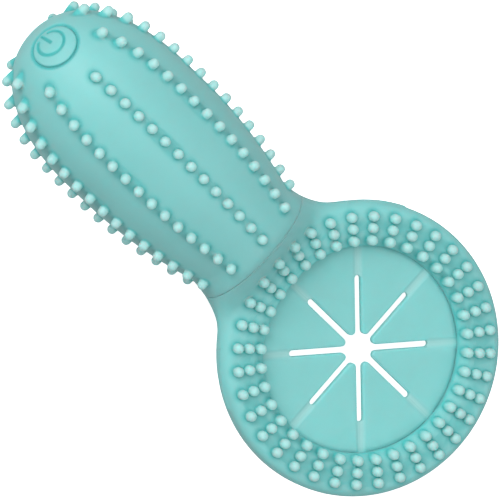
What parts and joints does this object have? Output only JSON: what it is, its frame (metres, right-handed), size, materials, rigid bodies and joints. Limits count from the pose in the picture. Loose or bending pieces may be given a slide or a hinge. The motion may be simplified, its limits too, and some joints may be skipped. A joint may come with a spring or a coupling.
{
  "type": "vibrating silicone massager",
  "caption": "Soft silicone hand massager: round pegged barrel with a power button in its domed tip, and a flat pegged ring closed by a slit membrane.",
  "frame": {"origin": "middle of the bounding box, on the barrel's axis and in the plane of the membrane's upper face", "axes": "+X from the ring to the domed tip of the barrel, +Z out of the button side, square to the ring"},
  "size_m": [0.1206, 0.058, 0.0362],
  "materials": {
    "silicone": "soft matt silicone",
    "shell": "fine matt ABS",
    "black_plastic": "matt black",
    "steel": "satin",
    "bronze": "sintered",
    "board": "solder mask",
    "foil": "embossed foil",
    "magnet": "matt ferrite",
    "copper": "enamelled winding",
    "chip": "matt epoxy",
    "lamp": "diffused",
    "lead_red": "smooth PVC",
    "foam": "closed cell foam",
    "tungsten": "sintered metal"
  },
  "bodies": {
    "root": {"barrel_sleeve": "silicone", "ring_body": "silicone", "neck_anchor": "shell", "stem_seal": "silicone", "core_upper_shell": "shell", "core_lower_shell": "shell", "housing_screws": "steel", "switch_body": "black_plastic", "button_board": "board", "status_led": "lamp", "charge_jack": "black_plastic", "motor_can": "steel", "motor_magnets": "magnet", "motor_end_cap": "black_plastic", "motor_bushes": "bronze", "motor_cradle": "foam", "battery_cell": "foil", "battery_foam": "foam", "main_board": "board", "control_chip": "chip", "charge_chip": "chip", "motor_leads": "lead_red", "battery_leads": "lead_red"},
    "button": {"button_pad": "silicone", "button_actuator": "shell", "switch_plunger": "black_plastic"},
    "spinner": {"motor_rotor": "copper", "motor_shaft": "steel", "eccentric_weight": "tungsten"},
    "petal_body_1": {"petal_1": "silicone"},
    "petal_body_2": {"petal_2": "silicone"},
    "petal_body_3": {"petal_3": "silicone"},
    "petal_body_4": {"petal_4": "silicone"},
    "petal_body_5": {"petal_5": "silicone"},
    "petal_body_6": {"petal_6": "silicone"},
    "petal_body_7": {"petal_7": "silicone"},
    "petal_body_8": {"petal_8": "silicone"}
  },
  "joints": [
    {"name": "button_press", "type": "slide", "parent": "root", "child": "button", "axis": [-0.7193, 0, -0.6947], "range_m": [0, 0.0005], "stiffness_N_per_m": 3000},
    {"name": "motor_spin", "type": "hinge", "parent": "root", "child": "spinner", "pos_m": [0.0187, 0, 0], "axis": [1, 0, 0], "continuous": true},
    {"name": "petal_1_flex", "type": "hinge", "parent": "root", "child": "petal_body_1", "pos_m": [-0.01911, 0.00505, -0.0007], "axis": [-0.3827, 0.9239, 0], "range_deg": [-65, 65], "stiffness_Nm_per_rad": 0.0004},
    {"name": "petal_2_flex", "type": "hinge", "parent": "root", "child": "petal_body_2", "pos_m": [-0.02625, 0.01219, -0.0007], "axis": [-0.9239, 0.3827, 0], "range_deg": [-65, 65], "stiffness_Nm_per_rad": 0.0004},
    {"name": "petal_3_flex", "type": "hinge", "parent": "root", "child": "petal_body_3", "pos_m": [-0.03635, 0.01219, -0.0007], "axis": [-0.9239, -0.3827, 0], "range_deg": [-65, 65], "stiffness_Nm_per_rad": 0.0004},
    {"name": "petal_4_flex", "type": "hinge", "parent": "root", "child": "petal_body_4", "pos_m": [-0.04349, 0.00505, -0.0007], "axis": [-0.3827, -0.9239, 0], "range_deg": [-65, 65], "stiffness_Nm_per_rad": 0.0004},
    {"name": "petal_5_flex", "type": "hinge", "parent": "root", "child": "petal_body_5", "pos_m": [-0.04349, -0.00505, -0.0007], "axis": [0.3827, -0.9239, 0], "range_deg": [-65, 65], "stiffness_Nm_per_rad": 0.0004},
    {"name": "petal_6_flex", "type": "hinge", "parent": "root", "child": "petal_body_6", "pos_m": [-0.03635, -0.01219, -0.0007], "axis": [0.9239, -0.3827, 0], "range_deg": [-65, 65], "stiffness_Nm_per_rad": 0.0004},
    {"name": "petal_7_flex", "type": "hinge", "parent": "root", "child": "petal_body_7", "pos_m": [-0.02625, -0.01219, -0.0007], "axis": [0.9239, 0.3827, 0], "range_deg": [-65, 65], "stiffness_Nm_per_rad": 0.0004},
    {"name": "petal_8_flex", "type": "hinge", "parent": "root", "child": "petal_body_8", "pos_m": [-0.01911, -0.00505, -0.0007], "axis": [0.3827, 0.9239, 0], "range_deg": [-65, 65], "stiffness_Nm_per_rad": 0.0004}
  ],
  "couplings": [
    {"joint": "petal_2_flex", "follows": "petal_1_flex", "ratio": 1},
    {"joint": "petal_3_flex", "follows": "petal_1_flex", "ratio": 1},
    {"joint": "petal_4_flex", "follows": "petal_1_flex", "ratio": 1},
    {"joint": "petal_5_flex", "follows": "petal_1_flex", "ratio": 1},
    {"joint": "petal_6_flex", "follows": "petal_1_flex", "ratio": 1},
    {"joint": "petal_7_flex", "follows": "petal_1_flex", "ratio": 1},
    {"joint": "petal_8_flex", "follows": "petal_1_flex", "ratio": 1}
  ]
}
